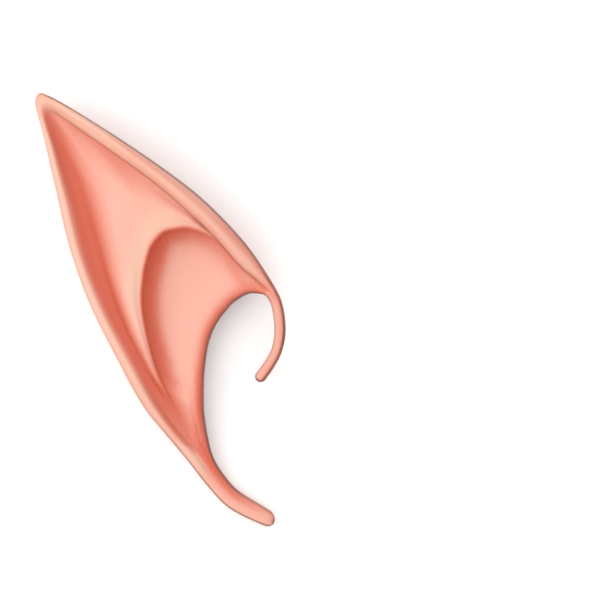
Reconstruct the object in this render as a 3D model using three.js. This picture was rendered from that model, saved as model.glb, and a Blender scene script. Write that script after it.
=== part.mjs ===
// One slip-on pointed ear of moulded latex, lying on its back with its carved face up.
// It is a single thin-walled moulding: a hook that curls round the front of the wearer's ear,
// a long helix roll, a pointed tip, a channelled face, a lobe tail, and behind the face an
// open pocket that the wearer's own ear slides into.
//
// Millimetres. +Y runs from the lobe tail to the tip, +Z out of the face, and the origin is
// the centre of the footprint on the table.
//
// The form is a loft of cross-sections. Each section runs from the inner edge, round the
// opening for the wearer's ear canal, to the outer edge, so the sections fan round the
// opening from the hook's end, past the tip, to the tail's end. A section is one closed
// outline: the face, the back skin, and the walls of the pocket between them.
import * as THREE from "three";

// Overall sizes.
const earLength = 120; // tail's lowest point to the tip
const earWidth = 69.4; // outer rim to the hook's bend
const earDepth = 22; // table to the top of the helix roll

// Sizes of single features.
const wall = 1.4; // latex skin
const hookWidth = 3.1; // hook's rod, seen from the front
const hookHeight = 3.4; // hook's rod, front to back
const tailWidth = 5.2; // lobe tail, seen from the front
const tailHeight = 4.6; // lobe tail, front to back
const lipRoll = 2.3; // roll of the face into the ear-canal opening
const brow = 1.0; // rounding where the antihelix drops into the concha
const coveWidth = 6.2; // hollow curve under that drop
const leastPocket = 0.6; // the pocket ends where it gets lower than this
const backSetback = 7.5; // back skin's free edge, in from the face's free edge

// How finely the loft is cut.
const sectionSpacing = 3.4; // along the longer edge
const capSteps = 3; // rings that round off each rod's end
const cuts = {
  lip: 3, floor: 4, cove: 4, brow: 1, rise: 2, fall: 5, shelf: 1, rollIn: 4, rollOut: 3,
  curl: 6, back: 3,
};
// Points of the face and of the back skin, counted along them, that the pocket follows.
const roofPoints = [3, 5, 7, 9, 10, 11, 12, 14, 16, 18, 19, 20, 22, 24, 26];
const floorPoints = [6, 4, 3, 2, 1];

// Rods stand across their own line: x and y place the centre, as shares of the ear's width
// and length from its lower left corner, across is the bearing in degrees from the rod's
// inner side to its outer side, wide is a share of the rod's width, and mid is the height
// of the rod's middle, as a share of the ear's depth.
const hookRods = [
  { x: 0.8985, y: 0.3455, across: -36, wide: 1.02, mid: 0.2 },
  { x: 0.931, y: 0.3715, across: -31, wide: 1.0, mid: 0.25 },
  { x: 0.96, y: 0.402, across: -21, wide: 0.98, mid: 0.33 },
  { x: 0.975, y: 0.44, across: -6, wide: 1.02, mid: 0.42 },
  { x: 0.974, y: 0.479, across: 5, wide: 1.03, mid: 0.5 },
  { x: 0.96, y: 0.518, across: 17, wide: 1.03, mid: 0.56 },
  { x: 0.937, y: 0.542, across: 36, wide: 1.17, mid: 0.6 },
];
const tailRods = [
  { x: 0.715, y: 0.109, across: 211, wide: 1.08, mid: 0.15 },
  { x: 0.781, y: 0.0665, across: 236, wide: 1.05, mid: 0.13 },
  { x: 0.843, y: 0.0435, across: 246, wide: 1.02, mid: 0.12 },
  { x: 0.894, y: 0.028, across: 251, wide: 0.95, mid: 0.115 },
  { x: 0.921, y: 0.02, across: 252, wide: 0.88, mid: 0.115 },
];

// Each section of the ear's body, from the hook's root, past the tip, to the lobe.
//   inX, inY, outX, outY   ends on the inner and outer edges, as shares of width and length
//   step, crest, scapha, foot   places along the section, as shares of it from the inner
//          edge: concha's step, antihelix crest, scapha floor, foot of the rim
//   crease how sharply the rim rises from its foot, from 0, a soft slope, to 1, a groove
//   lip, floor, deep, top, low, rim, side, back   heights, as shares of the ear's depth: lip's
//          end, concha floor, concha's deepest line, antihelix crest, scapha floor, top of
//          the rim, outer edge, underside of the back skin
//   curl   share of the section over which the back skin curls up to the outer edge
//   pocket how far the pocket is open, from 0, solid, to 1
const bodySections = [
  "inX   inY   outX  outY  step  crest scapha foot crease lip   floor deep  top   low   rim   side  back  curl  pocket",
  ".901  .536  .946  .563  .42   .45   .48    .50  1.0    .580  .660  .660  .660  .660  .680  .580  .440  .50   0",
  ".853  .5365 .845  .649  .40   .42   .435   .455 1.0    .450  .600  .600  .640  .680  .820  .600  .160  .52   .9",
  ".791  .516  .678  .7505 .61   .63   .64    .65  1.0    .400  .550  .555  .690  .700  .955  .600  .000  .46   1",
  ".764  .499  .553  .8085 .590  .66   .72    .742 1.0    .385  .530  .500  .810  .790  1.00  .590  .000  .41   1",
  ".742  .4835 .390  .8745 .510  .61   .78    .82  1.0    .380  .520  .465  .820  .770  .970  .580  .000  .38   1",
  ".7265 .4695 .209  .942  .425  .52   .82    .86  .90    .380  .515  .450  .810  .690  .860  .560  .000  .39   1",
  ".7213 .4644 .1257 .9713 .388  .485  .837   .877 .796   .38   .512  .448  .806  .638  .773  .545  .000  .404  1",
  ".717  .460  .056  .993  .3615 .45   .86    .90  .60    .380  .510  .445  .800  .580  .680  .520  .000  .43   1",
  ".713  .4555 .018  .9995 .3495 .435  .88    .92  .40    .380  .510  .440  .795  .555  .650  .500  .000  .45   1",
  ".709  .451  .0015 .9845 .3485 .435  .885   .928 .25    .380  .510  .440  .790  .540  .650  .490  .000  .44   1",
  ".701  .439  .037  .894  .379  .47   .872   .912 .10    .380  .510  .435  .780  .535  .615  .490  .000  .38   1",
  ".691  .4195 .083  .7785 .419  .51   .835   .884 0      .380  .510  .435  .765  .535  .615  .490  .000  .34   1",
  ".6815 .3865 .137  .646  .459  .54   .785   .863 0      .380  .510  .435  .745  .535  .610  .480  .000  .32   1",
  ".675  .351  .215  .5175 .482  .548  .735   .817 0      .375  .505  .435  .700  .530  .600  .455  .000  .33   1",
  ".673  .3095 .3145 .400  .510  .555  .665   .757 0      .360  .495  .430  .585  .490  .560  .410  .000  .36   1",
  ".6745 .265  .433  .275  .45   .49   .575   .69  0      .330  .465  .400  .400  .400  .495  .345  .000  .42   1",
  ".6865 .2145 .532  .204  .34   .39   .48    .60  .10    .285  .400  .340  .340  .350  .425  .280  .000  .48   1",
  ".7095 .1615 .609  .1505 .22   .26   .34    .52  .40    .230  .320  .300  .300  .300  .355  .220  .000  .50   .6",
];

// Turns the lines of a table into row objects, named by its first line.
function readTable([head, ...lines]) {
  const names = head.split(/\s+/);
  return lines.map((line) => {
    const values = line.trim().split(/\s+/).map(Number);
    return Object.fromEntries(names.map((name, i) => [name, values[i]]));
  });
}

// A rod's section in the terms of the body's sections: an oval with no relief.
function rodSection({ x, y, across, wide, mid }, width, height) {
  const bearing = THREE.MathUtils.degToRad(across);
  const halfX = (Math.cos(bearing) * wide * width) / 2 / earWidth;
  const halfY = (Math.sin(bearing) * wide * width) / 2 / earLength;
  const half = (wide * height) / 2 / earDepth;
  const top = mid + half;
  return {
    inX: x - halfX, inY: y - halfY, outX: x + halfX, outY: y + halfY,
    step: 0.47, crest: 0.49, scapha: 0.51, foot: 0.53, crease: 1,
    lip: mid, floor: top, deep: top, top, low: top, rim: top, side: mid, back: mid - half,
    curl: 0.5, pocket: 0,
  };
}

const rows = [
  ...hookRods.map((rod) => rodSection(rod, hookWidth, hookHeight)),
  ...readTable(bodySections),
  ...tailRods.map((rod) => rodSection(rod, tailWidth, tailHeight)),
];

// Smooth curves through the rows, so that a section can stand anywhere between them.
function edgeCurve(xName, yName) {
  const points = rows.map((r) => new THREE.Vector3(r[xName] * earWidth, r[yName] * earLength, 0));
  return new THREE.CatmullRomCurve3(points, false, "centripetal");
}
const innerEdge = edgeCurve("inX", "inY");
const outerEdge = edgeCurve("outX", "outY");

// How far apart neighbouring rows stand, along the edge where they are farther apart.
const spacing = rows.slice(1).map((row, i) => {
  const last = rows[i];
  const far = (x, y) => Math.hypot((row[x] - last[x]) * earWidth, (row[y] - last[y]) * earLength);
  return Math.max(far("inX", "inY"), far("outX", "outY"));
});

// A column's slope at a row, limited so that the curve never overshoots the rows beside it.
function slopeAt(name, i) {
  if (i === 0 || i === rows.length - 1) {
    return 0;
  }
  const [before, after] = [spacing[i - 1], spacing[i]];
  const rise = (rows[i][name] - rows[i - 1][name]) / before;
  const nextRise = (rows[i + 1][name] - rows[i][name]) / after;
  if (rise * nextRise <= 0) {
    return 0;
  }
  const [w, nextW] = [2 * after + before, after + 2 * before];
  return (w + nextW) / (w / rise + nextW / nextRise);
}

// A column's value at a place between rows.
function column(name, place) {
  const i = Math.min(Math.floor(place), rows.length - 2);
  const t = place - i;
  const [from, to, span] = [rows[i][name], rows[i + 1][name], spacing[i]];
  const [leave, arrive] = [slopeAt(name, i) * span, slopeAt(name, i + 1) * span];
  const turn = t * t * (3 - 2 * t);
  return from + (to - from) * turn + leave * t * (1 - t) ** 2 - arrive * t * t * (1 - t);
}

const mix = THREE.MathUtils.lerp;
const quarter = Math.PI / 2;
const steps = (count) => Array.from({ length: count }, (_, i) => (i + 1) / count);

// Pieces of an outline, each a list of [w, z] points after the start point a, up to b.
const straight = (a, b, count) => steps(count).map((t) => [mix(a[0], b[0], t), mix(a[1], b[1], t)]);
const ease = (a, b, count, bias = 1) =>
  steps(count).map((t) => [mix(a[0], b[0], t), mix(a[1], b[1], (1 - Math.cos(Math.PI * t ** bias)) / 2)]);
const blend = (soft, sharp, share) =>
  soft.map((p, i) => [mix(p[0], sharp[i][0], share), mix(p[1], sharp[i][1], share)]);
// A quarter oval that leaves a upright and reaches b level.
const upThenOver = (a, b, count) =>
  steps(count).map((t) => [
    mix(b[0], a[0], Math.cos(quarter * t)),
    mix(a[1], b[1], Math.sin(quarter * t)),
  ]);
// A quarter oval that leaves a level and reaches b upright.
const overThenUp = (a, b, count) =>
  steps(count).map((t) => [
    mix(a[0], b[0], Math.sin(quarter * t)),
    mix(b[1], a[1], Math.cos(quarter * t)),
  ]);

// The section at a place along the rows: where it stands, and its outline in [w, z], with
// w in from the inner edge and z up from the table.
function sectionAt(place) {
  const t = place / (rows.length - 1);
  const foot = innerEdge.getPoint(t);
  const head = outerEdge.getPoint(t);
  const width = foot.distanceTo(head);
  const along = head.clone().sub(foot).normalize();
  const at = (name) => column(name, place) * width;
  const z = (name) => column(name, place) * earDepth;

  // Face, from the lip over the concha, the antihelix and the scapha to the outer edge.
  const lipWidth = Math.min(lipRoll, 0.8 * at("step"));
  const browSize = Math.min(brow, (at("crest") - at("step")) / 2);
  const browTop = mix(z("deep"), z("top"), 0.9);
  const coveStart = Math.max(at("step") - coveWidth, mix(lipWidth, at("step"), 0.4));
  const rollTop = mix(at("foot"), width, 0.52);
  const lipEnd = [0, z("lip")];
  const marks = {
    lip: [lipWidth, z("floor")],
    cove: [coveStart, z("deep")],
    brow: [at("step"), mix(z("deep"), browTop, 0.8)],
    edge: [at("step") + browSize, browTop],
    crest: [at("crest"), z("top")],
    scapha: [at("scapha"), z("low")],
    foot: [at("foot"), mix(z("low"), z("rim"), 0.1)],
    roll: [rollTop, z("rim")],
    side: [width, z("side")],
  };
  const face = [
    lipEnd,
    ...upThenOver(lipEnd, marks.lip, cuts.lip),
    ...ease(marks.lip, marks.cove, cuts.floor),
    ...overThenUp(marks.cove, marks.brow, cuts.cove),
    ...upThenOver(marks.brow, marks.edge, cuts.brow),
    ...ease(marks.edge, marks.crest, cuts.rise),
    ...ease(marks.crest, marks.scapha, cuts.fall, 1.25),
    ...straight(marks.scapha, marks.foot, cuts.shelf),
    ...blend(
      ease(marks.foot, marks.roll, cuts.rollIn),
      upThenOver(marks.foot, marks.roll, cuts.rollIn),
      column("crease", place),
    ),
    ...overThenUp(marks.roll, marks.side, cuts.rollOut),
  ];

  // Back skin, from the outer edge round to its free edge.
  const freeEdge = 1 / Math.hypot(1 / (0.46 * width), 1 / backSetback);
  const heel = [Math.max(width * (1 - column("curl", place)), freeEdge * 1.05), z("back")];
  const hem = [freeEdge, z("back")];
  const back = [...upThenOver(marks.side, heel, cuts.curl), ...straight(heel, hem, cuts.back)];

  // Pocket. Its roof and floor are points of the face and of the back skin, moved into the
  // skin by the wall's thickness and kept clear of every other point of that skin. Where a
  // section meets the outer edge at a slant, the wall is longer in the section.
  const edgeLine = outerEdge.getTangent(t);
  const slant = Math.max(Math.abs(along.x * edgeLine.y - along.y * edgeLine.x), 0.3);
  const outerWall = Math.min(wall / slant, 0.4 * width);
  const reachAt = (w) => mix(wall, outerWall, w / width);
  const clearOf = (curve, side) => {
    const fine = curve.flatMap((p, i) => (i ? straight(curve[i - 1], p, 6) : [p]));
    return (w) => {
      const near = fine.filter(([cw]) => Math.abs(cw - w) <= reachAt(w));
      const drop = (cw) => wall * Math.sqrt(1 - ((cw - w) / reachAt(w)) ** 2);
      return side * Math.min(...near.map(([cw, cz]) => side * cz - drop(cw)));
    };
  };
  const movedIn = (curve, picked) =>
    picked.map((i) => {
      const [before, after] = [curve[i - 1], curve[i + 1]];
      const run = Math.hypot(after[0] - before[0], after[1] - before[1]);
      return curve[i][0] + (reachAt(curve[i][0]) * (after[1] - before[1])) / run;
    });
  const skin = [marks.side, ...back];
  const roofAt = clearOf(face, 1);
  const floorAt = clearOf(skin, -1);
  // The pocket ends where its roof and floor close in on each other.
  const isOpen = (w) => roofAt(w) - floorAt(w) > leastPocket;
  const tries = steps(60).map((s) => mix(hem[0], width - outerWall, s));
  let far = tries.find((w) => !isOpen(w)) ?? width - outerWall;
  let near = Math.max(hem[0], ...tries.filter((w) => w < far));
  for (let i = 0; i < 12; i += 1) {
    const middle = (near + far) / 2;
    [near, far] = isOpen(middle) ? [middle, far] : [near, middle];
  }
  const pocketEnd = near;
  const inOrder = (first, list) =>
    list.reduce((done, w, i) => {
      const room = 0.02 * wall * (list.length - i);
      return [...done, Math.min(Math.max(w, done.at(-1) + 0.02 * wall), pocketEnd - room)];
    }, [first]);
  const floorLine = inOrder(hem[0], movedIn(skin, floorPoints));
  const roofLine = inOrder(wall, movedIn(face, roofPoints));
  const open = [
    [hem[0] - wall / 2, hem[1] + wall / 2],
    ...floorLine.map((w) => [w, floorAt(w)]),
    [pocketEnd, (floorAt(pocketEnd) + roofAt(pocketEnd)) / 2],
    ...roofLine.reverse().map((w) => [w, roofAt(w)]),
    [wall / 2, lipEnd[1] - wall / 2],
  ];
  const shut = overThenUp(hem, lipEnd, open.length + 1);
  const pocket = column("pocket", place);
  const hollow = open.map(([w, high], i) => [mix(shut[i][0], w, pocket), mix(shut[i][1], high, pocket)]);
  return [...face, ...back, ...hollow].map(([w, high]) => {
    const point = foot.clone().addScaledVector(along, w);
    return point.setZ(high);
  });
}

// Places along the rows where a section is cut, evenly spaced along the longer edge.
const places = [0];
for (let i = 0; i < rows.length - 1; i += 1) {
  const at = (k) => (i + k / 8) / (rows.length - 1);
  const spans = [innerEdge, outerEdge].map((edge) =>
    steps(8).reduce((sum, _, k) => sum + edge.getPoint(at(k)).distanceTo(edge.getPoint(at(k + 1))), 0),
  );
  const count = Math.max(2, Math.round(Math.max(...spans) / sectionSpacing));
  places.push(...steps(count).map((s) => i + s));
}
const sections = places.map(sectionAt);

// Rings that round off a rod's end, from the full section towards the last point.
function capRings(ring, before, radius) {
  const middle = (points) =>
    points.reduce((sum, p) => sum.add(p), new THREE.Vector3()).divideScalar(points.length);
  const box = new THREE.Box3().setFromPoints(ring);
  const centre = box.getCenter(new THREE.Vector3());
  const outward = middle(ring).sub(middle(before)).normalize();
  return steps(capSteps).map((s) => {
    const shift = outward.clone().multiplyScalar(radius * Math.sin(quarter * s));
    return ring.map((p) => p.clone().sub(centre).multiplyScalar(Math.cos(quarter * s)).add(centre).add(shift));
  });
}
const hookCap = capRings(sections[0], sections[1], hookWidth / 2);
const tailCap = capRings(sections.at(-1), sections.at(-2), tailWidth / 2);
const rings = [
  ...hookCap.slice(0, -1).reverse(),
  ...sections,
  ...tailCap.slice(0, -1),
];
const ends = [hookCap.at(-1)[0], tailCap.at(-1)[0]];

// One closed skin over the rings, its ends drawn to a point.
const ringSize = rings[0].length;
const points = [...rings.flat(), ...ends];
const [hookPoint, tailPoint] = [points.length - 2, points.length - 1];
const faces = [];
const lastRing = rings.length - 1;
for (let j = 0; j < ringSize; j += 1) {
  const next = (j + 1) % ringSize;
  for (let i = 0; i < lastRing; i += 1) {
    const [a, b] = [i * ringSize, (i + 1) * ringSize];
    faces.push(a + j, a + next, b + next);
    faces.push(a + j, b + next, b + j);
  }
  faces.push(hookPoint, next, j);
  faces.push(lastRing * ringSize + j, lastRing * ringSize + next, tailPoint);
}

const shape = new THREE.BufferGeometry();
shape.setAttribute("position", new THREE.Float32BufferAttribute(points.flatMap((p) => p.toArray()), 3));
shape.setIndex(faces);
shape.computeBoundingBox();
const { min, max } = shape.boundingBox;
shape.translate(-(min.x + max.x) / 2, -(min.y + max.y) / 2, -min.z);
shape.computeVertexNormals();

const latex = new THREE.MeshStandardMaterial({ color: "#f5b8a2", roughness: 0.55, metalness: 0 });
const ear = new THREE.Mesh(shape, latex);
ear.name = "ear_shell";

const group = new THREE.Group();
group.add(ear);
export default group;
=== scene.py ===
# %% [markdown]
# A slip-on pointed ear, the kind that is slid over the wearer's own ear for a costume. The
# real one is a single moulding of soft latex about as thick as a coin, painted by airbrush:
# peach all over, red-orange in the hollows. Here that red also carries painted shade, and the
# ridge between the hollows has a pale yellow painted highlight.
#
# There is one piece to make and three things to get right about it. The first is the form,
# which is long, hollow and carved, so it is built section by section in mesh code. The
# second is the paint, which follows that form. The third is the soft, flat light of a
# photograph on white. The frame is the imported solid: every size here is its size.

# %% Load the frame
import math

import bpy
import numpy as np
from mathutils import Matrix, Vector


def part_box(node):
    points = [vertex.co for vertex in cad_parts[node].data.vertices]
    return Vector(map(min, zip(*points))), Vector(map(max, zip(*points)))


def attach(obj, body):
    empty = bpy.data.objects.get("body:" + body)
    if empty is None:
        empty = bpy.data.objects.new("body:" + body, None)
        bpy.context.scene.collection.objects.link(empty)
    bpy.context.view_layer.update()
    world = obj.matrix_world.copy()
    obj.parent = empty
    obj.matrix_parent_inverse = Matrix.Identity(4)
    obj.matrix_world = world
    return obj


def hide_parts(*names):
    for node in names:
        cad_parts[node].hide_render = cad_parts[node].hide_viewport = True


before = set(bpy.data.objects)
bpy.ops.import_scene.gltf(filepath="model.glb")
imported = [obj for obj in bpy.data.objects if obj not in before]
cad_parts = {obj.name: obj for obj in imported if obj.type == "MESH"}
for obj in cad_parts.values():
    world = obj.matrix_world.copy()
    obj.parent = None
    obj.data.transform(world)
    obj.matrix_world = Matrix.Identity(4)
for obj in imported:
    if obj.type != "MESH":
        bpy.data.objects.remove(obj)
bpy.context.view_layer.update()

low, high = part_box("ear_shell")
print("solid is", [round((b - a) * 1000, 1) for a, b in zip(low, high)], "mm")

# %% [markdown]
# The ear's sizes come first, in millimetres, as a sculptor would note them: how long, how
# wide, how deep, how thick the latex. Shares of these sizes place everything else, so a
# change of one size carries through.

# %% Sizes of the moulding
ear_length = 120.0
ear_width = 69.4
ear_depth = 22.0
latex_wall = 1.4
hook_width, hook_height = 3.1, 3.4
tail_width, tail_height = 5.2, 4.6
lip_roll = 2.3
brow_rounding = 1.0
cove_width = 6.2
least_pocket = 0.6
back_setback = 7.5

# Shares that place a face's marks between the table's heights and places.
brow_share, edge_share = 0.8, 0.9
foot_share, roll_share = 0.1, 0.52
# The bias of the long fall from the ridge, and the back's setback at most, as a share.
fall_bias, widest_setback = 1.25, 0.46

# %% [markdown]
# The form is a loft of sections. Each section runs from the inner edge, beside the opening
# for the wearer's ear canal, to the outer edge, so the sections fan round that opening: hook,
# helix, tip, outer rim, tail. At both ends the section is a plain rod. In between, a table
# gives one row to each section. A sculpted surface or a displaced grid could make the same
# face, but then the groove, the ridge and the rim could not be moved by name.

# %% Rows of the loft
hook_rods = [
    dict(x=0.8985, y=0.3455, across=-36, wide=1.02, mid=0.2),
    dict(x=0.931, y=0.3715, across=-31, wide=1.0, mid=0.25),
    dict(x=0.96, y=0.402, across=-21, wide=0.98, mid=0.33),
    dict(x=0.975, y=0.44, across=-6, wide=1.02, mid=0.42),
    dict(x=0.974, y=0.479, across=5, wide=1.03, mid=0.5),
    dict(x=0.96, y=0.518, across=17, wide=1.03, mid=0.56),
    dict(x=0.937, y=0.542, across=36, wide=1.17, mid=0.6),
]
tail_rods = [
    dict(x=0.715, y=0.109, across=211, wide=1.08, mid=0.15),
    dict(x=0.781, y=0.0665, across=236, wide=1.05, mid=0.13),
    dict(x=0.843, y=0.0435, across=246, wide=1.02, mid=0.12),
    dict(x=0.894, y=0.028, across=251, wide=0.95, mid=0.115),
    dict(x=0.921, y=0.02, across=252, wide=0.88, mid=0.115),
]
body_table = """
inX   inY   outX  outY  step  crest scapha foot crease lip   floor deep  top   low   rim   side  back  curl  pocket
.901  .536  .946  .563  .42   .45   .48    .50  1.0    .580  .660  .660  .660  .660  .680  .580  .440  .50   0
.853  .5365 .845  .649  .40   .42   .435   .455 1.0    .450  .600  .600  .640  .680  .820  .600  .160  .52   .9
.791  .516  .678  .7505 .61   .63   .64    .65  1.0    .400  .550  .555  .690  .700  .955  .600  .000  .46   1
.764  .499  .553  .8085 .590  .66   .72    .742 1.0    .385  .530  .500  .810  .790  1.00  .590  .000  .41   1
.742  .4835 .390  .8745 .510  .61   .78    .82  1.0    .380  .520  .465  .820  .770  .970  .580  .000  .38   1
.7265 .4695 .209  .942  .425  .52   .82    .86  .90    .380  .515  .450  .810  .690  .860  .560  .000  .39   1
.7213 .4644 .1257 .9713 .388  .485  .837   .877 .796   .38   .512  .448  .806  .638  .773  .545  .000  .404  1
.717  .460  .056  .993  .3615 .45   .86    .90  .60    .380  .510  .445  .800  .580  .680  .520  .000  .43   1
.713  .4555 .018  .9995 .3495 .435  .88    .92  .40    .380  .510  .440  .795  .555  .650  .500  .000  .45   1
.709  .451  .0015 .9845 .3485 .435  .885   .928 .25    .380  .510  .440  .790  .540  .650  .490  .000  .44   1
.701  .439  .037  .894  .379  .47   .872   .912 .10    .380  .510  .435  .780  .535  .615  .490  .000  .38   1
.691  .4195 .083  .7785 .419  .51   .835   .884 0      .380  .510  .435  .765  .535  .615  .490  .000  .34   1
.6815 .3865 .137  .646  .459  .54   .785   .863 0      .380  .510  .435  .745  .535  .610  .480  .000  .32   1
.675  .351  .215  .5175 .482  .548  .735   .817 0      .375  .505  .435  .700  .530  .600  .455  .000  .33   1
.673  .3095 .3145 .400  .510  .555  .665   .757 0      .360  .495  .430  .585  .490  .560  .410  .000  .36   1
.6745 .265  .433  .275  .45   .49   .575   .69  0      .330  .465  .400  .400  .400  .495  .345  .000  .42   1
.6865 .2145 .532  .204  .34   .39   .48    .60  .10    .285  .400  .340  .340  .350  .425  .280  .000  .48   1
.7095 .1615 .609  .1505 .22   .26   .34    .52  .40    .230  .320  .300  .300  .300  .355  .220  .000  .50   .6
"""


def read_table(text):
    """One dict of numbers to each line under the head."""
    head, *lines = text.strip().splitlines()
    names = head.split()
    return [dict(zip(names, map(float, line.split()))) for line in lines]


def rod_row(rod, width, height):
    """A row like the body table's for a plain rod of oval section."""
    bearing = math.radians(rod["across"])
    half_x = math.cos(bearing) * rod["wide"] * width / 2 / ear_width
    half_y = math.sin(bearing) * rod["wide"] * width / 2 / ear_length
    half = rod["wide"] * height / 2 / ear_depth
    mid, top = rod["mid"], rod["mid"] + half
    return dict(
        inX=rod["x"] - half_x, inY=rod["y"] - half_y,
        outX=rod["x"] + half_x, outY=rod["y"] + half_y,
        step=0.47, crest=0.49, scapha=0.51, foot=0.53, crease=1.0,
        lip=mid, floor=top, deep=top, top=top, low=top, rim=top, side=mid, back=mid - half,
        curl=0.5, pocket=0.0,
    )


rows = [rod_row(rod, hook_width, hook_height) for rod in hook_rods]
rows += read_table(body_table)
rows += [rod_row(rod, tail_width, tail_height) for rod in tail_rods]
hook_count, body_count = len(hook_rods), len(rows) - len(hook_rods) - len(tail_rods)
middle_place = hook_count + 11.0
print(len(rows), "rows, of which", body_count, "cross the carved face")

# %% [markdown]
# Between the rows the sections have to glide. The two edges follow smooth curves through the
# rows' ends, and every other value follows a curve that never swings past the rows beside it,
# so the rim can't wobble between two rows of the same height.

# %% Smooth curves through the rows
def edge_points(x_name, y_name):
    return np.array([[r[x_name] * ear_width, r[y_name] * ear_length] for r in rows])


def along_edge(points, place):
    """A centripetal curve through the points, so that uneven spacing can't make it loop."""
    i = min(int(place), len(points) - 2)
    t = place - i
    before = points[i - 1] if i else 2 * points[0] - points[1]
    after = points[i + 2] if i + 2 < len(points) else 2 * points[-1] - points[-2]
    p = [before, points[i], points[i + 1], after]
    a, b, c = [math.sqrt(np.linalg.norm(p[k + 1] - p[k])) for k in range(3)]
    leave = b * ((p[1] - p[0]) / a - (p[2] - p[0]) / (a + b) + (p[2] - p[1]) / b)
    arrive = b * ((p[2] - p[1]) / b - (p[3] - p[1]) / (b + c) + (p[3] - p[2]) / c)
    square = -3 * p[1] + 3 * p[2] - 2 * leave - arrive
    cube = 2 * p[1] - 2 * p[2] + leave + arrive
    return p[1] + leave * t + square * t**2 + cube * t**3


inner_points = edge_points("inX", "inY")
outer_points = edge_points("outX", "outY")
spacing = np.maximum(
    np.linalg.norm(np.diff(inner_points, axis=0), axis=1),
    np.linalg.norm(np.diff(outer_points, axis=0), axis=1),
)


def gliding(values):
    """The curve of one value over the rows, as a function of the place along them."""
    values = np.array(values, float)
    slopes = np.zeros(len(values))
    for i in range(1, len(values) - 1):
        before, after = spacing[i - 1], spacing[i]
        rise, next_rise = (values[i] - values[i - 1]) / before, (values[i + 1] - values[i]) / after
        if rise * next_rise > 0:
            w, next_w = 2 * after + before, after + 2 * before
            slopes[i] = (w + next_w) / (w / rise + next_w / next_rise)

    def at(place):
        i = min(int(place), len(values) - 2)
        t = place - i
        leave, arrive = slopes[i] * spacing[i], slopes[i + 1] * spacing[i]
        turn = t * t * (3 - 2 * t)
        change = values[i + 1] - values[i]
        return values[i] + change * turn + leave * t * (1 - t) ** 2 - arrive * t * t * (1 - t)

    return at


columns = {name: gliding([r[name] for r in rows]) for name in rows[0]}
print("edges are", round(float(spacing.sum())), "mm long at most")

# %% [markdown]
# One section is a closed outline made of short named stretches: the lip that rolls into the
# opening, the concha floor, the cove under its step, the antihelix ridge, the long fall to
# the scapha, the rim, and then the plain back. Quarter ovals join where a modelling tool
# would have left a round, and cosine eases where a thumb would have smoothed the clay.

# %% Stretches of a section
def steps(count):
    return np.arange(1, count + 1) / count


def straight(a, b, count):
    t = steps(count)
    return np.column_stack([a[0] + (b[0] - a[0]) * t, a[1] + (b[1] - a[1]) * t])


def ease(a, b, count, bias=1.0):
    """A cosine from a to b. A bias over 1 keeps it longer at the height of a."""
    t = steps(count)
    turn = (1 - np.cos(np.pi * t**bias)) / 2
    return np.column_stack([a[0] + (b[0] - a[0]) * t, a[1] + (b[1] - a[1]) * turn])


def up_then_over(a, b, count):
    """A quarter oval that leaves a upright and reaches b level."""
    turn = steps(count) * np.pi / 2
    across = b[0] + (a[0] - b[0]) * np.cos(turn)
    return np.column_stack([across, a[1] + (b[1] - a[1]) * np.sin(turn)])


def over_then_up(a, b, count):
    """A quarter oval that leaves a level and reaches b upright."""
    turn = steps(count) * np.pi / 2
    across = a[0] + (b[0] - a[0]) * np.sin(turn)
    return np.column_stack([across, b[1] + (a[1] - b[1]) * np.cos(turn)])


cuts = dict(lip=8, floor=14, cove=14, brow=4, rise=8, fall=26, shelf=4, roll_in=14, roll_out=10)
cuts.update(curl=16, back=8, hem=3, pocket_floor=12, pocket_roof=22, lip_end=3)


across_names = ("step", "crest", "scapha", "foot")
height_names = ("lip", "floor", "deep", "top", "low", "rim", "side")


def face_of(place, width):
    """The face from the inner edge to the outer edge, as points of w and z, and its marks."""
    at = {name: columns[name](place) * width for name in across_names}
    z = {name: columns[name](place) * ear_depth for name in height_names}
    lip_width = min(lip_roll, 0.8 * at["step"])
    brow = min(brow_rounding, (at["crest"] - at["step"]) / 2)
    brow_top = z["deep"] + edge_share * (z["top"] - z["deep"])
    cove_start = max(at["step"] - cove_width, lip_width + 0.4 * (at["step"] - lip_width))
    marks = dict(
        lip_end=(0.0, z["lip"]),
        lip=(lip_width, z["floor"]),
        cove=(cove_start, z["deep"]),
        brow=(at["step"], z["deep"] + brow_share * (brow_top - z["deep"])),
        edge=(at["step"] + brow, brow_top),
        crest=(at["crest"], z["top"]),
        scapha=(at["scapha"], z["low"]),
        foot=(at["foot"], z["low"] + foot_share * (z["rim"] - z["low"])),
        roll=(at["foot"] + roll_share * (width - at["foot"]), z["rim"]),
        side=(width, z["side"]),
    )
    crease = columns["crease"](place)
    soft = ease(marks["foot"], marks["roll"], cuts["roll_in"])
    sharp = up_then_over(marks["foot"], marks["roll"], cuts["roll_in"])
    face = np.vstack([
        [marks["lip_end"]],
        up_then_over(marks["lip_end"], marks["lip"], cuts["lip"]),
        ease(marks["lip"], marks["cove"], cuts["floor"]),
        over_then_up(marks["cove"], marks["brow"], cuts["cove"]),
        up_then_over(marks["brow"], marks["edge"], cuts["brow"]),
        ease(marks["edge"], marks["crest"], cuts["rise"]),
        ease(marks["crest"], marks["scapha"], cuts["fall"], fall_bias),
        straight(marks["scapha"], marks["foot"], cuts["shelf"]),
        soft + (sharp - soft) * crease,
        over_then_up(marks["roll"], marks["side"], cuts["roll_out"]),
    ])
    return face, marks


face, marks = face_of(middle_place, 49.0)
print("one face section has", len(face), "points, its ridge", round(marks["crest"][1], 1), "mm up")

# %% [markdown]
# The back skin closes the section, and the pocket between the two skins is what makes the
# piece wearable. The pocket's walls are the skins' own points, moved in by the latex's
# thickness, as if the mould had been slushed once and drained. A solidify modifier would do
# that in one click, but it folds over itself in the groove, and it can't end the pocket
# where the two skins meet.

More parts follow.
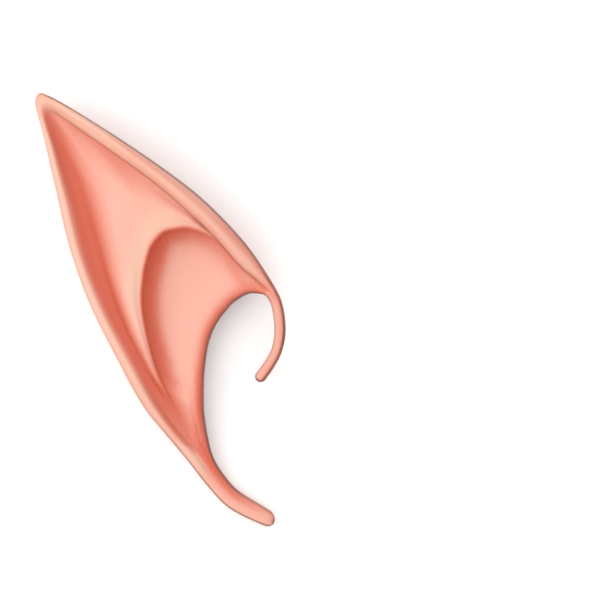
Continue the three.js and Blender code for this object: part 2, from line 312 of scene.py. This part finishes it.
# %% Back, pocket and the closed section
def clear_of(curve, side, reach_at):
    """The height at each w that keeps the latex's thickness away from the whole curve."""
    fine = np.vstack([[curve[0]]] + [straight(a, b, 3) for a, b in zip(curve, curve[1:])])

    def at(w):
        reach = reach_at(w)
        near = fine[np.abs(fine[:, 0] - w) <= reach]
        drop = latex_wall * np.sqrt(np.clip(1 - ((near[:, 0] - w) / reach) ** 2, 0, 1))
        return side * float(np.min(side * near[:, 1] - drop))

    return at


def moved_in(curve, count, reach_at):
    """Places of the pocket's points: the skin's own points, moved in along its normal."""
    picked = np.linspace(1, len(curve) - 2, count).round().astype(int)
    run = curve[picked + 1] - curve[picked - 1]
    reach = np.array([reach_at(w) for w in curve[picked, 0]])
    return curve[picked, 0] + reach * run[:, 1] / np.linalg.norm(run, axis=1)


def in_order(first, places, last):
    """The places again, each a little further than the one before, between first and last."""
    room = 0.02 * latex_wall
    done = [first]
    for i, w in enumerate(places):
        done.append(min(max(w, done[-1] + room), last - room * (len(places) - i)))
    return done


def section_at(place):
    """Points of one closed section in millimetres, and where its parts lie in it."""
    foot, head = along_edge(inner_points, place), along_edge(outer_points, place)
    width = float(np.linalg.norm(head - foot))
    along = (head - foot) / width
    face, marks = face_of(place, width)

    back_z = columns["back"](place) * ear_depth
    free_edge = 1 / math.hypot(1 / (widest_setback * width), 1 / back_setback)
    heel = (max(width * (1 - columns["curl"](place)), free_edge * 1.05), back_z)
    hem = (free_edge, back_z)
    side = marks["side"]
    back = np.vstack([up_then_over(side, heel, cuts["curl"]), straight(heel, hem, cuts["back"])])

    ahead = along_edge(outer_points, min(place + 0.02, len(rows) - 1))
    line = ahead - along_edge(outer_points, max(place - 0.02, 0))
    line = line / np.linalg.norm(line)
    slant = max(abs(along[0] * line[1] - along[1] * line[0]), 0.3)
    outer_wall = min(latex_wall / slant, 0.4 * width)

    def reach_at(w):
        return latex_wall + (outer_wall - latex_wall) * w / width

    skin = np.vstack([[side], back])
    roof_at, floor_at = clear_of(face, 1, reach_at), clear_of(skin, -1, reach_at)

    def is_open(w):
        return roof_at(w) - floor_at(w) > least_pocket

    tries = free_edge + (width - outer_wall - free_edge) * steps(40)
    far = next((w for w in tries if not is_open(w)), width - outer_wall)
    near = max([free_edge] + [w for w in tries if w < far])
    for _ in range(10):
        middle = (near + far) / 2
        near, far = (middle, far) if is_open(middle) else (near, middle)
    floor_line = in_order(free_edge, moved_in(skin, cuts["pocket_floor"], reach_at)[::-1], near)
    roof_places = moved_in(face[cuts["lip"] :], cuts["pocket_roof"], reach_at)
    roof_line = in_order(latex_wall, roof_places, near)
    half = latex_wall / 2
    turn = np.pi * steps(cuts["hem"]) / (1 + 1 / cuts["hem"])
    lip_z = marks["lip_end"][1]
    hem_round = [(hem[0] - half * math.sin(a), hem[1] + half * (1 - math.cos(a))) for a in turn]
    lip_round = [(half * (1 + math.cos(a)), lip_z - half * math.sin(a)) for a in turn]
    opened = np.array(
        hem_round
        + [(w, floor_at(w)) for w in floor_line]
        + [(near, (floor_at(near) + roof_at(near)) / 2)]
        + [(w, roof_at(w)) for w in roof_line[::-1]]
        + lip_round
    )
    shut = over_then_up(hem, marks["lip_end"], len(opened) + 1)[:-1]
    hollow = shut + (opened - shut) * columns["pocket"](place)
    outline = np.vstack([face, back, hollow])
    points = np.column_stack([foot + outline[:, :1] * along, outline[:, 1]])
    return points, face, marks, width


points, face, marks, width = section_at(middle_place)
print("one closed section has", len(points), "points and is", round(width, 1), "mm wide")

# %% [markdown]
# Paint comes next, before any mesh, because it follows the same sections. Red-orange lies in
# the hollows, partly the maker's airbrushed colour and partly painted shade: a band under the
# concha's step, a wide band along the scapha, a thin one where the face rolls into the
# opening, and a red painted shade over the outer half of the helix roll. A pale yellow painted
# highlight lies on the antihelix ridge and on the rim, and a fine brown line of painted shade
# runs along both edges, in the groove and deep in the scapha band. Each has a soft edge, so it
# is described by where it starts, how far it reaches and how much it blurs. A painted image
# would need unwrapping; masks worked out with the section need none.

# %% Tables of red, painted highlight and painted shade, a row for each row of the loft
# Red, partly airbrushed colour and partly painted shade; the last column is red painted shade only.
red_table = """
stepRed stepDepth stepBlur lipRed bandFrom bandFull bandRed bandKeep bandEnd outRed
0       1.0       1.0      0      .35      .80      .45     .95      1.05    .30
0       1.0       1.0      0      .35      .80      .45     .95      1.05    .30
0       1.0       1.0      0      .35      .80      .45     .95      1.05    .30
0       1.0       1.0      0      .35      .80      .45     .95      1.05    .30
0       1.0       1.0      0      .35      .80      .45     .95      1.05    .30
0       1.0       1.0      .10    .35      .80      .40     .95      1.05    .30
.10     1.0       1.0      .30    .30      .55      .30     .80      .95     .70
.30     1.2       1.0      .60    .30      .48      .30     .60      .80     .75
.40     9.0       1.0      .60    .40      .44      0       .50      .60     .75
.75     4.6       2.6      .80    .632     .642     .10     .652     .69     .25
.90     3.6       2.0      .90    .65      .72      .15     .735     .775    .22
.94     3.6       1.3      .90    .65      .83      .36     .800     .835    .20
.94     4.4       1.0      .90    .60      .78      .55     .845     .866    .08
.94     5.0       .9       .9     .62      .84      .52     .858     .886    .065
.94     5.6       .80      .90    .64      .86      .49     .882     .910    .05
.94     5.9       .80      .90    .58      .82      .40     .908     .944    0
.94     5.9       .80      .90    .56      .86      .85     .915     .960    0
.94     6.0       .85      .90    .57      .79      1.0     .906     .950    0
.94     6.0       .90      .90    .57      .75      1.0     .876     .930    0
.94     6.2       .95      .85    .58      .71      1.0     .855     .918    0
.94     6.3       1.0      .95    .55      .69      1.0     .808     .888    0
.94     5.4       1.1      1.0    .50      .66      1.0     .748     .858    0
.30     1.6       1.1      1.0    .16      .46      .88     .700     .850    0
.40     2.4       1.0      .85    .20      .48      .70     .66      .92     0
.40     2.0       1.0      .90    .0       .20      .64     .36      .56     0
.20     1.0       1.0      .70    .0       .15      .50     .30      .50     0
.10     1.0       1.0      .55    .0       .15      .42     .34      .50     0
0       1.0       1.0      .35    .0       .15      .26     .36      .52     0
0       1.0       1.0      .20    .0       .15      .18     .34      .50     0
0       1.0       1.0      .20    .0       .15      .10     .30      .45     0
"""

# Painted shade along the edges and in the groove, and painted highlight on the ridge and the rim.
highlight_and_shade_table = """
lipShade outShade outLine groove glow rimGlow rimShift foldGlow
.10      .90      .80     0      0    0       0        0
.10      .80      .80     0      0    0       0        0
.10      .85      .80     0      0    0       0        0
.10      .95      .80     0      0    0       0        0
.10      .85      .80     0      0    0       0        0
.20      .75      .80     0      0    0       0        0
.35      .70      .80     0      0    0       0        0
.65      .70      1.0     .30    0    0       0        0
.80      .90      1.0     .80    0    .30     0        0
.85      1.0      1.0     .80    .05  .60     -.9      0
.85      .95      1.0     .80    .15  .75     -1.0     0
.85      .95      1.0     .90    .60  .70     -.7      .30
.85      .85      1.0     1.0    .75  1.0     1.6      .85
.85      .85      1.0     1.0    .8   .90     1.5      1.0
.85      .85      1.0     .90    .85  .60     1.4      1.0
.85      .30      1.0     .55    .85  .20     1.2      .30
.85      .15      1.0     .10    .85  0       1.2      0
.88      .15      1.0     0      .85  .60     1.6      0
.90      .15      1.0     0      .80  .60     1.3      0
.90      .15      1.0     0      .60  .60     1.5      0
.85      .20      1.0     0      .20  .60     1.5      0
.75      .20      1.0     0      0    .40     1.0      0
.85      .35      .80     0      0    0       0        0
1.0      .55      .70     0      0    0       0        0
1.0      .75      .52     0      0    .80     -1.0     0
.90      .75      .50     0      0    0       0        0
.80      .80      .50     0      0    0       0        0
.55      .80      .50     0      0    0       0        0
.55      .80      .50     0      0    0       0        0
.60      .90      .50     0      0    0       0        0
"""
paint_rows = [red | line for red, line in zip(read_table(red_table), read_table(highlight_and_shade_table))]
assert len(paint_rows) == len(rows)
paint = {name: gliding([r[name] for r in paint_rows]) for name in paint_rows[0]}


# Millimetres: where the soft edges of the red, the painted highlights and the painted shade
# lie beside a mark, and how wide they are.
lip_reach, lip_blur = 2.85, 0.6
over_brow, over_edge = 0.2, 0.6
ridge_middle, ridge_spread = 2.6, 3.0
ridge_from, ridge_full = 0.6, 2.0
rim_spread = 1.6
fold_start, fold_full, fold_end = 0.3, 0.6, 2.5
groove_before, groove_spread = 0.45, 0.5
inner_full, inner_end = 0.45, 1.15
outer_full, outer_end = 0.6, 1.45
full_line_width = 16.0
# Shares: of the section's width, and of the painted shade in the groove and in the band.
outer_from, outer_whole = 0.6, 0.98
groove_red, groove_shade, band_shade = 0.5, 0.42, 0.2


def bell(distance, spread):
    return np.exp(-((distance / spread) ** 2))


def soft_step(distance, blur):
    """1 far below nought, 0 far above it, one half at it."""
    return 1 / (1 + np.exp(np.clip(distance / blur, -20, 20)))


def fade(value, start, end):
    """0 before start, 1 after end, smooth in between."""
    t = np.clip((value - start) / (end - start), 0, 1)
    return t * t * (3 - 2 * t)


def paint_of(place, face, marks, width):
    """How red, and how much painted highlight and painted shade, each point of the face has, 0 to 1."""
    p = {name: curve(place) for name, curve in paint.items()}
    w, share = face[:, 0], face[:, 0] / width
    step_w, edge_w, foot_w, roll_w = (marks[name][0] for name in ("brow", "edge", "foot", "roll"))

    # Red under the concha's step: partly airbrushed colour, partly painted shadow under the step.
    step = p["stepRed"] * soft_step(step_w - w - p["stepDepth"], p["stepBlur"])
    step *= 1 - fade(w, step_w + over_brow, edge_w + over_edge)
    # Red at the lip: partly airbrushed colour, partly painted shade where the face rolls into the opening.
    lip = p["lipRed"] * soft_step(w - lip_reach, lip_blur)
    # Red along the scapha: partly airbrushed colour, partly painted shade below the rim.
    rise = np.clip((share - p["bandFrom"]) / (p["bandFull"] - p["bandFrom"]), 0, 1)
    band = p["bandRed"] * rise * (1 - fade(share, p["bandKeep"], p["bandEnd"]))
    # Red painted shade over the outer half of the helix roll, the side turned from the light.
    outer = p["outRed"] * fade(share, outer_from, outer_whole)
    # Painted shade in the crease at the rim's foot, partly red and partly brown.
    groove = p["groove"] * bell(w - foot_w + groove_before, groove_spread)
    bare = (1 - step) * (1 - lip) * (1 - band) * (1 - outer) * (1 - groove_red * groove)

    # Pale gold painted highlight along the antihelix ridge.
    ridge = p["glow"] * bell(w - edge_w - ridge_middle, ridge_spread)
    ridge *= fade(w, step_w + ridge_from, step_w + ridge_full)
    # Painted highlight on the rim, and on the rim's inner slope, which the form alone leaves in shade.
    rim = p["rimGlow"] * bell(w - roll_w - p["rimShift"], rim_spread)
    fold = p["foldGlow"] * fade(w, foot_w - fold_start, foot_w + fold_full)
    fold *= 1 - fade(w, roll_w - fold_end, roll_w)
    glow = np.maximum.reduce([ridge, rim, fold])

    # Painted shade: a dark brown line along both edges, where the surface turns away from the light.
    line = np.clip(width / full_line_width, 0.8, 1.0)
    inner_edge_shade = p["lipShade"] * (1 - fade(w, inner_full * line, inner_end * line))
    out_line = p["outLine"]
    outer_edge_shade = p["outShade"] * fade(w, width - outer_end * out_line, width - outer_full * out_line)
    # All of these are painted shade; the last darkens the deepest part of the scapha band.
    shade = np.maximum.reduce([inner_edge_shade, outer_edge_shade, groove_shade * groove, band_shade * band**3])
    return np.column_stack([1 - bare, glow, shade])


masks = paint_of(middle_place, face, marks, width)
least, most = float(masks[:, 0].min()), float(masks[:, 0].max())
print("across the middle the red goes from", round(least, 2), "to", round(most, 2))

# %% [markdown]
# Now the rings are cut along the whole ear and skinned into one mesh. Rings stand closer
# together than the solid's, because the render looks at the groove and the lip from near by.
# The two rods end in rounds: each last ring shrinks towards its middle like slices of a ball.

# %% Cut the rings
ring_gap = 0.62
# The red, painted highlight and painted shade of the two edges run on over this many points
# of the back before they are faint.
edge_carry_points = 5.0
# The brown painted shade round a rod's end, where the round turns from the light: how dark,
# and where it starts and stops fading, in mm.
end_shade, end_full, end_fade = 0.85, 0.3, 0.9
places = [0.0]
for i, span in enumerate(spacing):
    count = max(4, round(span / ring_gap))
    places += [i + k / count for k in range(1, count + 1)]

rings, ring_paint = [], []
for place in places:
    points, face, marks, width = section_at(place)
    face_paint = paint_of(place, face, marks, width)
    around = np.exp(-np.arange(len(points) - len(face)) / edge_carry_points)[:, None]
    under_lip = 1 - paint["stepRed"](place) * 0.5
    rest = face_paint[-1] * around + face_paint[0] * around[::-1] * under_lip
    rings.append(points)
    ring_paint.append(np.vstack([face_paint, rest]))


def cap_rings(ring, before, radius, count=7):
    """Rings that shrink towards the end of a rod like slices of a ball."""
    centre = (ring.min(0) + ring.max(0)) / 2
    outward = ring.mean(0) - before.mean(0)
    outward /= np.linalg.norm(outward)
    turn = steps(count) * np.pi / 2
    return [centre + (ring - centre) * math.cos(a) + outward * radius * math.sin(a) for a in turn]


def cap_paint(ring, radius, count):
    """The rod's own paint, with its brown painted shade carried round its end."""
    to_end = radius * (1 - np.sin(steps(count) * np.pi / 2))
    end_shade_amounts = end_shade * (1 - fade(to_end, end_full, end_fade))
    return [np.maximum(ring, [0, 0, amount]) for amount in end_shade_amounts[:-1]]


hook_cap = cap_rings(rings[0], rings[1], hook_width / 2)
tail_cap = cap_rings(rings[-1], rings[-2], tail_width / 2)
all_rings = hook_cap[:-1][::-1] + rings + tail_cap[:-1]
hook_paint = cap_paint(ring_paint[0], hook_width / 2, len(hook_cap))
tail_paint = cap_paint(ring_paint[-1], tail_width / 2, len(tail_cap))
all_paint = hook_paint[::-1] + ring_paint + tail_paint
vertices = np.vstack(all_rings + [hook_cap[-1][:1], tail_cap[-1][:1]])
vertex_paint = np.vstack(all_paint + [hook_paint[-1][:1], tail_paint[-1][:1]])
print(len(all_rings), "rings of", len(rings[0]), "points")

# %% Skin them into one mesh
ring_size, ring_count = len(rings[0]), len(all_rings)
i, j = np.meshgrid(np.arange(ring_count - 1), np.arange(ring_size), indexing="ij")
a, after = i * ring_size, (j + 1) % ring_size
b = a + ring_size
quads = np.stack([a + j, a + after, b + after, b + j], axis=-1).reshape(-1, 4)
j, after = np.arange(ring_size), (np.arange(ring_size) + 1) % ring_size
hook_point, tail_point = len(vertices) - 2, len(vertices) - 1
last = (ring_count - 1) * ring_size
hook_fan = np.column_stack([np.full(ring_size, hook_point), after, j])
tail_fan = np.column_stack([last + j, last + after, np.full(ring_size, tail_point)])

box_low, box_high = vertices.min(0), vertices.max(0)
to_origin = np.array([*(box_low[:2] + box_high[:2]) / 2, box_low[2]])
skin_mesh = bpy.data.meshes.new("ear_skin")
skin_faces = quads.tolist() + hook_fan.tolist() + tail_fan.tolist()
skin_mesh.from_pydata(((vertices - to_origin) / 1000).tolist(), [], skin_faces)
for k, name in enumerate(("red", "glow", "shade")):
    layer = skin_mesh.attributes.new(name, "FLOAT", "POINT")
    layer.data.foreach_set("value", np.clip(vertex_paint[:, k], 0, 1).astype(np.float32))
skin_mesh.shade_smooth()
ear = bpy.data.objects.new("ear_skin", skin_mesh)
bpy.context.collection.objects.link(ear)
skin_mesh.update()
triangles = 2 * len(quads) + len(hook_fan) + len(tail_fan)
measured = [round(float(size), 1) for size in box_high - box_low]
print("ear skin:", triangles, "triangles,", measured, "mm")
assert triangles < 200_000

# %% [markdown]
# It takes the solid's place and rides on the root body, since nothing on an ear moves.

# %% Put it in the frame
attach(ear, "root")
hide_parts("ear_shell")

# %% [markdown]
# Latex paint over latex: a matt, slightly waxy skin that lets a little light in. The three
# masks mix three paints over the peach: red that is partly airbrushed colour and partly
# painted shade, a pale gold painted highlight, and a brown painted shade. Noise breaks them up
# at two scales, a broad one for the uneven coat and a fine one for the airbrush's spatter,
# which only shows where a band fades out. A bump of the same fine grain keeps the light from
# looking like plastic.

# %% Painted latex
def srgb(r, g, b):
    def linear(c):
        c /= 255
        return c / 12.92 if c <= 0.04045 else ((c + 0.055) / 1.055) ** 2.4

    return (linear(r), linear(g), linear(b), 1.0)


# The hollows' red is partly airbrushed colour and partly painted shade; the ridge gold is a painted highlight and
# the edge brown a painted shade.
peach = srgb(222, 163, 145)
hollow_red = srgb(204, 92, 66)
painted_highlight_gold = srgb(225, 181, 157)
painted_edge_shade = srgb(122, 64, 49)
second_peach = srgb(220, 160, 140)


class Nodes:
    """A short hand for wiring a material's nodes."""

    def __init__(self, material):
        material.use_nodes = True
        self.tree = material.node_tree
        self.shader = self.tree.nodes["Principled BSDF"]

    def add(self, kind, **settings):
        node = self.tree.nodes.new(kind)
        for name, value in settings.items():
            if name in node.inputs:
                node.inputs[name].default_value = value
            else:
                setattr(node, name, value)
        return node

    def join(self, source, target):
        self.tree.links.new(source, target)

    def mask(self, name):
        return self.add("ShaderNodeAttribute", attribute_name=name).outputs["Fac"]

    def noise(self, scale, detail=2.0, roughness=0.5):
        node = self.add("ShaderNodeTexNoise")
        node.inputs["Scale"].default_value = scale
        node.inputs["Detail"].default_value = detail
        node.inputs["Roughness"].default_value = roughness
        self.join(self.where, node.inputs["Vector"])
        return node.outputs["Fac"]

    def math(self, operation, a, b):
        node = self.add("ShaderNodeMath", operation=operation)
        for value, socket in ((a, node.inputs[0]), (b, node.inputs[1])):
            if isinstance(value, (int, float)):
                socket.default_value = value
            else:
                self.join(value, socket)
        return node.outputs[0]

    def mix(self, factor, a, b):
        node = self.add("ShaderNodeMix", data_type="RGBA")
        node.clamp_factor = True
        for value, socket in ((factor, node.inputs[0]), (a, node.inputs[6]), (b, node.inputs[7])):
            if isinstance(value, (tuple, int, float)):
                socket.default_value = value
            else:
                self.join(value, socket)
        return node.outputs[2]


latex = bpy.data.materials.new("painted_latex")
n = Nodes(latex)
n.where = n.add("ShaderNodeTexCoord").outputs["Object"]
# Noise scales are per metre, the grain's height is in metres.
coat_scale, grain_scale, spatter_scale = 55.0, 1500.0, 2600.0
coat_unevenness, spatter_strength = 0.22, 0.5
grain_height, roughness_middle, roughness_range = 0.0003, 0.5, 0.2
broad = n.noise(coat_scale, 3.0)
grain = n.noise(grain_scale, 3.0, 0.6)
spatter = n.noise(spatter_scale, 1.0)

red = n.mask("red")
edge_of_band = n.math("MULTIPLY", n.math("MULTIPLY", red, n.math("SUBTRACT", 1.0, red)), 4.0)
uneven = n.math("MULTIPLY", n.math("SUBTRACT", broad, 0.5), coat_unevenness)
spots = n.math("MULTIPLY", n.math("SUBTRACT", spatter, 0.5), spatter_strength)
spatter_amount = n.math("MULTIPLY", spots, edge_of_band)
# The red mask, made uneven and spattered at its fading edge; the red is partly painted shade.
red_and_shade = n.math("ADD", n.math("ADD", red, n.math("MULTIPLY", uneven, red)), spatter_amount)

base = n.mix(n.math("MULTIPLY", broad, 0.3), peach, second_peach)
# Pale gold painted highlight.
highlighted = n.mix(n.mask("glow"), base, painted_highlight_gold)
# Red over it, partly airbrushed colour and partly painted shade.
reddened = n.mix(red_and_shade, highlighted, hollow_red)
# Brown painted shade along the edges, in the groove and deep in the scapha band.
with_painted_shade = n.mix(n.mask("shade"), reddened, painted_edge_shade)
n.join(with_painted_shade, n.shader.inputs["Base Color"])

duller = n.math("MULTIPLY", n.math("SUBTRACT", grain, 0.5), roughness_range)
dullness = n.math("ADD", roughness_middle, duller)
n.join(dullness, n.shader.inputs["Roughness"])
bump = n.add("ShaderNodeBump")
bump.inputs["Strength"].default_value = 0.12
bump.inputs["Distance"].default_value = grain_height
n.join(n.math("ADD", n.math("MULTIPLY", broad, 1.5), grain), bump.inputs["Height"])
n.join(bump.outputs["Normal"], n.shader.inputs["Normal"])
n.shader.inputs["Specular IOR Level"].default_value = 0.35
n.shader.inputs["Subsurface Weight"].default_value = 0.12
n.shader.inputs["Subsurface Radius"].default_value = (1.0, 0.4, 0.25)
n.shader.inputs["Subsurface Scale"].default_value = 0.0015
skin_mesh.materials.append(latex)
print("latex has", len(latex.node_tree.nodes), "nodes")

# %% [markdown]
# The photograph is a cut-out on white, taken straight on. So the ear lies on a wide, pale
# floor and the camera hangs above it. The frame keeps the photograph's own scale and place:
# this ear fills the same part of the picture as it does there.

# %% Floor
floor_size = 6.0
floor_mesh = bpy.data.meshes.new("floor")
half = floor_size / 2
corners = [(-half, -half, 0), (half, -half, 0), (half, half, 0), (-half, half, 0)]
floor_mesh.from_pydata(corners, [], [(0, 1, 2, 3)])
floor = bpy.data.objects.new("floor", floor_mesh)
bpy.context.collection.objects.link(floor)
paper = bpy.data.materials.new("white_paper")
p = Nodes(paper)
p.where = p.add("ShaderNodeTexCoord").outputs["Object"]
p.join(p.mix(p.noise(3.0), srgb(253, 253, 253), srgb(251, 251, 251)), p.shader.inputs["Base Color"])
p.shader.inputs["Roughness"].default_value = 0.9
p.shader.inputs["Specular IOR Level"].default_value = 0.1
floor_mesh.materials.append(paper)

# %% Camera above the photograph's frame
photo_side_px = 600
ear_left_px, ear_right_px = 35.0, 286.0
ear_top_px, ear_bottom_px = 93.0, 527.0
mm_per_px = (high.y - low.y) * 1000 / (ear_bottom_px - ear_top_px)
ear_middle_px = ((ear_left_px + ear_right_px) / 2, (ear_top_px + ear_bottom_px) / 2)
frame_x = (photo_side_px / 2 - ear_middle_px[0]) * mm_per_px / 1000
frame_y = (ear_middle_px[1] - photo_side_px / 2) * mm_per_px / 1000
outline_height = 0.009
camera_height = 2.4

camera_data = bpy.data.cameras.new("camera")
camera_data.sensor_width = 36.0
camera_data.lens = 36.0 * (camera_height - outline_height) / (photo_side_px * mm_per_px / 1000)
camera = bpy.data.objects.new("camera", camera_data)
camera.location = (frame_x, frame_y, camera_height)
bpy.context.collection.objects.link(camera)
bpy.context.scene.camera = camera
print("lens", round(camera_data.lens, 1), "mm, frame", round(photo_side_px * mm_per_px), "mm wide")

# %% [markdown]
# The light is soft and comes from everywhere, with a gentle side to it: in the photograph
# every slope that faces left is brighter and every slope that faces right is darker. The sky
# does nearly all of it. It is brightest overhead and a little to the left, and fades towards
# the horizon, like a wide white tent over the table. One weak, broad lamp low on the left
# lifts the slopes that face it. A single strong lamp would draw hard shadows in the hollows.

# %% Light
def soft_lamp(name, place, size, watts, colour=(1, 1, 1)):
    data = bpy.data.lights.new(name, "AREA")
    data.shape = "DISK"
    data.size = size
    data.energy = watts
    data.color = colour
    lamp = bpy.data.objects.new(name, data)
    lamp.location = place
    lamp.rotation_euler = (Vector((0, 0, 0.01)) - Vector(place)).to_track_quat("-Z", "Y").to_euler()
    bpy.context.collection.objects.link(lamp)


soft_lamp("left_lamp", (-1.1, 0.15, 0.75), 0.7, 1.8)

light_from = (-0.32, 0.12, 0.94)
dim, bright = 0.44, 1.38
sky = bpy.data.worlds.new("studio")
sky.use_nodes = True
tree = sky.node_tree
background = tree.nodes["Background"]
direction = tree.nodes.new("ShaderNodeTexCoord").outputs["Generated"]
facing = tree.nodes.new("ShaderNodeVectorMath")
facing.operation = "DOT_PRODUCT"
facing.inputs[1].default_value = Vector(light_from).normalized()
amount = tree.nodes.new("ShaderNodeMapRange")
ramp = {"From Min": 0.0, "From Max": 1.0, "To Min": dim, "To Max": dim + bright}
for name, value in ramp.items():
    amount.inputs[name].default_value = value
tree.links.new(direction, facing.inputs[0])
tree.links.new(facing.outputs["Value"], amount.inputs["Value"])
tree.links.new(amount.outputs["Result"], background.inputs["Strength"])
background.inputs["Color"].default_value = (1, 1, 1, 1)
bpy.context.scene.world = sky
bpy.context.scene.view_settings.view_transform = "Standard"
